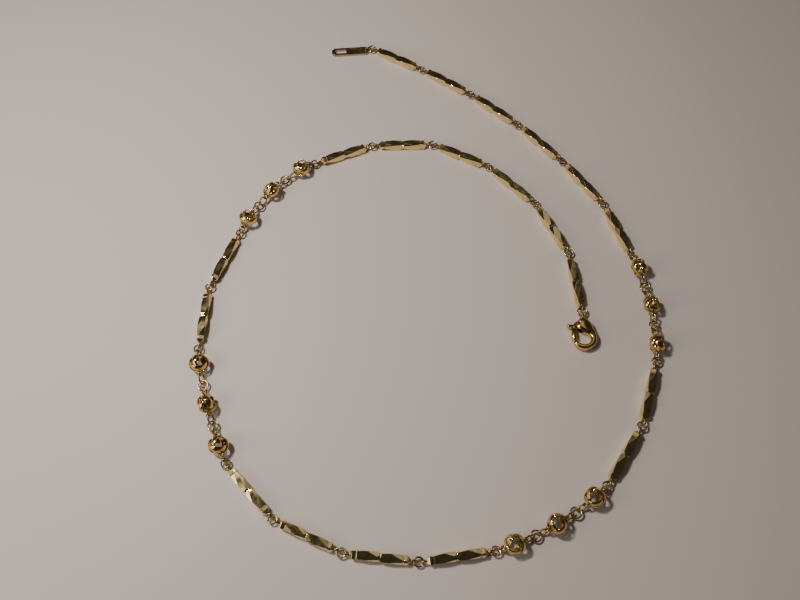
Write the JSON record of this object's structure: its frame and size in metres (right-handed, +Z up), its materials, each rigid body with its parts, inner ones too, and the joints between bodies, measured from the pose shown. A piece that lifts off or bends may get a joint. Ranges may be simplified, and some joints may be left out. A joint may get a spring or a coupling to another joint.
{
  "type": "eyeglasses chain strap",
  "caption": "Metal eyeglasses chain strap of faceted bar links and open love knots, with a slotted end tag and a lobster clasp, lying flat in one open spiral.",
  "frame": {"origin": "bottom centre of the box around the whole strap as it lies, on the surface it rests on", "axes": "+Z up, along the shortest extent; +Y along the longest extent, from the strap's middle towards the end with the slotted tag; +X across the spiral, so the tag is at -X +Y and the clasp at +X near the middle"},
  "size_m": [0.1454, 0.1864, 0.006],
  "materials": {
    "bar_gold": "bright gold-tone polish on diamond-cut faces",
    "knot_gold": "bright gold-tone polish",
    "ring_gold": "bright gold-tone polished wire",
    "tag_gold": "bright gold-tone polish, stamped edges",
    "clasp_gold": "bright gold-tone polish on a cast claw",
    "spring_steel": "plain spring wire"
  },
  "bodies": {
    "tag": {"tag": "tag_gold", "ring_01": "ring_gold"},
    "bar_01": {"bar_01": "bar_gold", "ring_02": "ring_gold"},
    "bar_02": {"bar_02": "bar_gold", "ring_03": "ring_gold"},
    "bar_03": {"bar_03": "bar_gold", "ring_04": "ring_gold"},
    "bar_04": {"bar_04": "bar_gold", "ring_05": "ring_gold"},
    "bar_05": {"bar_05": "bar_gold", "ring_06": "ring_gold"},
    "bar_06": {"bar_06": "bar_gold", "ring_07": "ring_gold"},
    "knot_01": {"knot_01": "knot_gold"},
    "knot_02": {"knot_02": "knot_gold"},
    "knot_03": {"knot_03": "knot_gold"},
    "bar_07": {"bar_07": "bar_gold", "ring_08": "ring_gold"},
    "bar_08": {"bar_08": "bar_gold", "ring_09": "ring_gold"},
    "knot_04": {"knot_04": "knot_gold"},
    "knot_05": {"knot_05": "knot_gold"},
    "knot_06": {"knot_06": "knot_gold"},
    "bar_09": {"bar_09": "bar_gold", "ring_10": "ring_gold"},
    "bar_10": {"bar_10": "bar_gold", "ring_11": "ring_gold"},
    "bar_11": {"bar_11": "bar_gold", "ring_12": "ring_gold"},
    "bar_12": {"bar_12": "bar_gold", "ring_13": "ring_gold"},
    "knot_07": {"knot_07": "knot_gold"},
    "knot_08": {"knot_08": "knot_gold"},
    "knot_09": {"knot_09": "knot_gold"},
    "bar_13": {"bar_13": "bar_gold", "ring_14": "ring_gold"},
    "bar_14": {"bar_14": "bar_gold", "ring_15": "ring_gold"},
    "knot_10": {"knot_10": "knot_gold"},
    "knot_11": {"knot_11": "knot_gold"},
    "knot_12": {"knot_12": "knot_gold"},
    "bar_15": {"bar_15": "bar_gold", "ring_16": "ring_gold"},
    "bar_16": {"bar_16": "bar_gold", "ring_17": "ring_gold"},
    "bar_17": {"bar_17": "bar_gold", "ring_18": "ring_gold"},
    "bar_18": {"bar_18": "bar_gold", "ring_19": "ring_gold"},
    "bar_19": {"bar_19": "bar_gold", "ring_20": "ring_gold"},
    "bar_20": {"bar_20": "bar_gold", "ring_21": "ring_gold"},
    "clasp": {"clasp_body": "clasp_gold", "clasp_pin": "clasp_gold", "clasp_spring": "spring_steel"},
    "lever": {"clasp_lever": "clasp_gold"}
  },
  "joints": [
    {"name": "clasp_lever_hinge", "type": "hinge", "parent": "clasp", "child": "lever", "pos_m": [0.04719, -0.02117, 0.0013], "axis": [0, 0, 1], "range_deg": [0, 25], "stiffness_Nm_per_rad": 0.004, "springref_deg": -28.65},
    {"name": "bar_20_to_clasp", "type": "hinge", "parent": "bar_20", "child": "clasp", "pos_m": [0.04834, -0.01752, 0.0013], "axis": [0, 0, 1], "range_deg": [-34, 34]},
    {"name": "tag_to_bar_01", "type": "hinge", "parent": "bar_01", "child": "tag", "pos_m": [-0.01975, 0.09164, 0.0013], "axis": [0, 0, -1], "range_deg": [-34, 34]},
    {"name": "bar_01_to_bar_02", "type": "hinge", "parent": "bar_02", "child": "bar_01", "pos_m": [-0.00105, 0.08143, 0.0013], "axis": [0, 0, 1], "range_deg": [-34, 34]},
    {"name": "bar_02_to_bar_03", "type": "hinge", "parent": "bar_03", "child": "bar_02", "pos_m": [0.01668, 0.06964, 0.0013], "axis": [0, 0, -1], "range_deg": [-34, 34]},
    {"name": "bar_03_to_bar_04", "type": "hinge", "parent": "bar_04", "child": "bar_03", "pos_m": [0.03297, 0.05591, 0.0013], "axis": [0, 0, 1], "range_deg": [-34, 34]},
    {"name": "bar_04_to_bar_05", "type": "hinge", "parent": "bar_05", "child": "bar_04", "pos_m": [0.0473, 0.04015, 0.0013], "axis": [0, 0, -1], "range_deg": [-27, 34]},
    {"name": "bar_05_to_bar_06", "type": "hinge", "parent": "bar_06", "child": "bar_05", "pos_m": [0.05956, 0.02273, 0.0013], "axis": [0, 0, 1], "range_deg": [-34, 19]},
    {"name": "bar_06_to_knot_01", "type": "hinge", "parent": "knot_01", "child": "bar_06", "pos_m": [0.06678, 0.00269, 0.0013], "axis": [0, 0, -1], "range_deg": [-14, 34]},
    {"name": "knot_01_to_knot_02", "type": "hinge", "parent": "knot_02", "child": "knot_01", "pos_m": [0.06942, -0.00901, 0.0013], "axis": [0, 0, 1], "range_deg": [-34, 12]},
    {"name": "knot_02_to_knot_03", "type": "hinge", "parent": "knot_03", "child": "knot_02", "pos_m": [0.07039, -0.02218, 0.0013], "axis": [0, 0, -1], "range_deg": [-10, 34]},
    {"name": "knot_03_to_bar_07", "type": "hinge", "parent": "bar_07", "child": "knot_03", "pos_m": [0.06921, -0.03412, 0.0013], "axis": [0, 0, 1], "range_deg": [-34, 9]},
    {"name": "bar_07_to_bar_08", "type": "hinge", "parent": "bar_08", "child": "bar_07", "pos_m": [0.06201, -0.05416, 0.0013], "axis": [0, 0, -1], "range_deg": [-8, 34]},
    {"name": "knot_06_to_bar_09", "type": "hinge", "parent": "bar_09", "child": "knot_06", "pos_m": [0.01709, -0.08891, 0.0013], "axis": [0, 0, -1], "range_deg": [-8, 34]},
    {"name": "bar_09_to_bar_10", "type": "hinge", "parent": "bar_10", "child": "bar_09", "pos_m": [-0.00403, -0.09168, 0.0013], "axis": [0, 0, 1], "range_deg": [-34, 9]},
    {"name": "bar_10_to_bar_11", "type": "hinge", "parent": "bar_10", "child": "bar_11", "pos_m": [-0.0252, -0.08933, 0.0013], "axis": [0, 0, 1], "range_deg": [-9, 34]},
    {"name": "bar_11_to_bar_12", "type": "hinge", "parent": "bar_11", "child": "bar_12", "pos_m": [-0.04459, -0.08052, 0.0013], "axis": [0, 0, -1], "range_deg": [-34, 10]},
    {"name": "bar_12_to_knot_07", "type": "hinge", "parent": "bar_12", "child": "knot_07", "pos_m": [-0.05928, -0.06509, 0.0013], "axis": [0, 0, 1], "range_deg": [-12, 34]},
    {"name": "knot_07_to_knot_08", "type": "hinge", "parent": "knot_07", "child": "knot_08", "pos_m": [-0.06409, -0.0541, 0.0013], "axis": [0, 0, -1], "range_deg": [-34, 13]},
    {"name": "knot_08_to_knot_09", "type": "hinge", "parent": "knot_08", "child": "knot_09", "pos_m": [-0.06845, -0.04164, 0.0013], "axis": [0, 0, 1], "range_deg": [-16, 34]},
    {"name": "knot_09_to_bar_13", "type": "hinge", "parent": "knot_09", "child": "bar_13", "pos_m": [-0.07122, -0.02996, 0.0013], "axis": [0, 0, -1], "range_deg": [-34, 17]},
    {"name": "bar_13_to_bar_14", "type": "hinge", "parent": "bar_13", "child": "bar_14", "pos_m": [-0.07013, -0.00869, 0.0013], "axis": [0, 0, 1], "range_deg": [-23, 25]},
    {"name": "bar_14_to_knot_10", "type": "hinge", "parent": "bar_14", "child": "knot_10", "pos_m": [-0.06217, 0.01107, 0.0013], "axis": [0, 0, -1], "range_deg": [-17, 33]},
    {"name": "knot_10_to_knot_11", "type": "hinge", "parent": "knot_10", "child": "knot_11", "pos_m": [-0.05673, 0.02176, 0.0013], "axis": [0, 0, 1], "range_deg": [-34, 15]},
    {"name": "knot_11_to_knot_12", "type": "hinge", "parent": "knot_11", "child": "knot_12", "pos_m": [-0.04867, 0.03222, 0.0013], "axis": [0, 0, -1], "range_deg": [-13, 34]},
    {"name": "knot_12_to_bar_15", "type": "hinge", "parent": "knot_12", "child": "bar_15", "pos_m": [-0.03875, 0.03896, 0.0013], "axis": [0, 0, 1], "range_deg": [-34, 10]},
    {"name": "bar_16_to_bar_17", "type": "hinge", "parent": "bar_16", "child": "bar_17", "pos_m": [0.00242, 0.04711, 0.0013], "axis": [0, 0, 1], "range_deg": [-34, 9]},
    {"name": "bar_17_to_bar_18", "type": "hinge", "parent": "bar_17", "child": "bar_18", "pos_m": [0.02158, 0.03779, 0.0013], "axis": [0, 0, -1], "range_deg": [-11, 34]},
    {"name": "bar_18_to_bar_19", "type": "hinge", "parent": "bar_18", "child": "bar_19", "pos_m": [0.03663, 0.02272, 0.0013], "axis": [0, 0, 1], "range_deg": [-34, 16]},
    {"name": "bar_19_to_bar_20", "type": "hinge", "parent": "bar_19", "child": "bar_20", "pos_m": [0.04615, 0.00367, 0.0013], "axis": [0, 0, -1], "range_deg": [-30, 34]},
    {"name": "bar_08_to_knot_04", "type": "hinge", "parent": "knot_04", "child": "bar_08", "pos_m": [0.04962, -0.07149, 0.0013], "axis": [0, 0, 1], "range_deg": [-34, 8]},
    {"name": "knot_04_to_knot_05", "type": "hinge", "parent": "knot_05", "child": "knot_04", "pos_m": [0.04007, -0.07875, 0.0013], "axis": [0, 0, -1], "range_deg": [-8, 34]},
    {"name": "knot_05_to_knot_06", "type": "hinge", "parent": "knot_06", "child": "knot_05", "pos_m": [0.02843, -0.08498, 0.0013], "axis": [0, 0, 1], "range_deg": [-34, 9]},
    {"name": "bar_15_to_bar_16", "type": "hinge", "parent": "bar_15", "child": "bar_16", "pos_m": [-0.01887, 0.04662, 0.0013], "axis": [0, 0, -1], "range_deg": [-9, 34]}
  ]
}
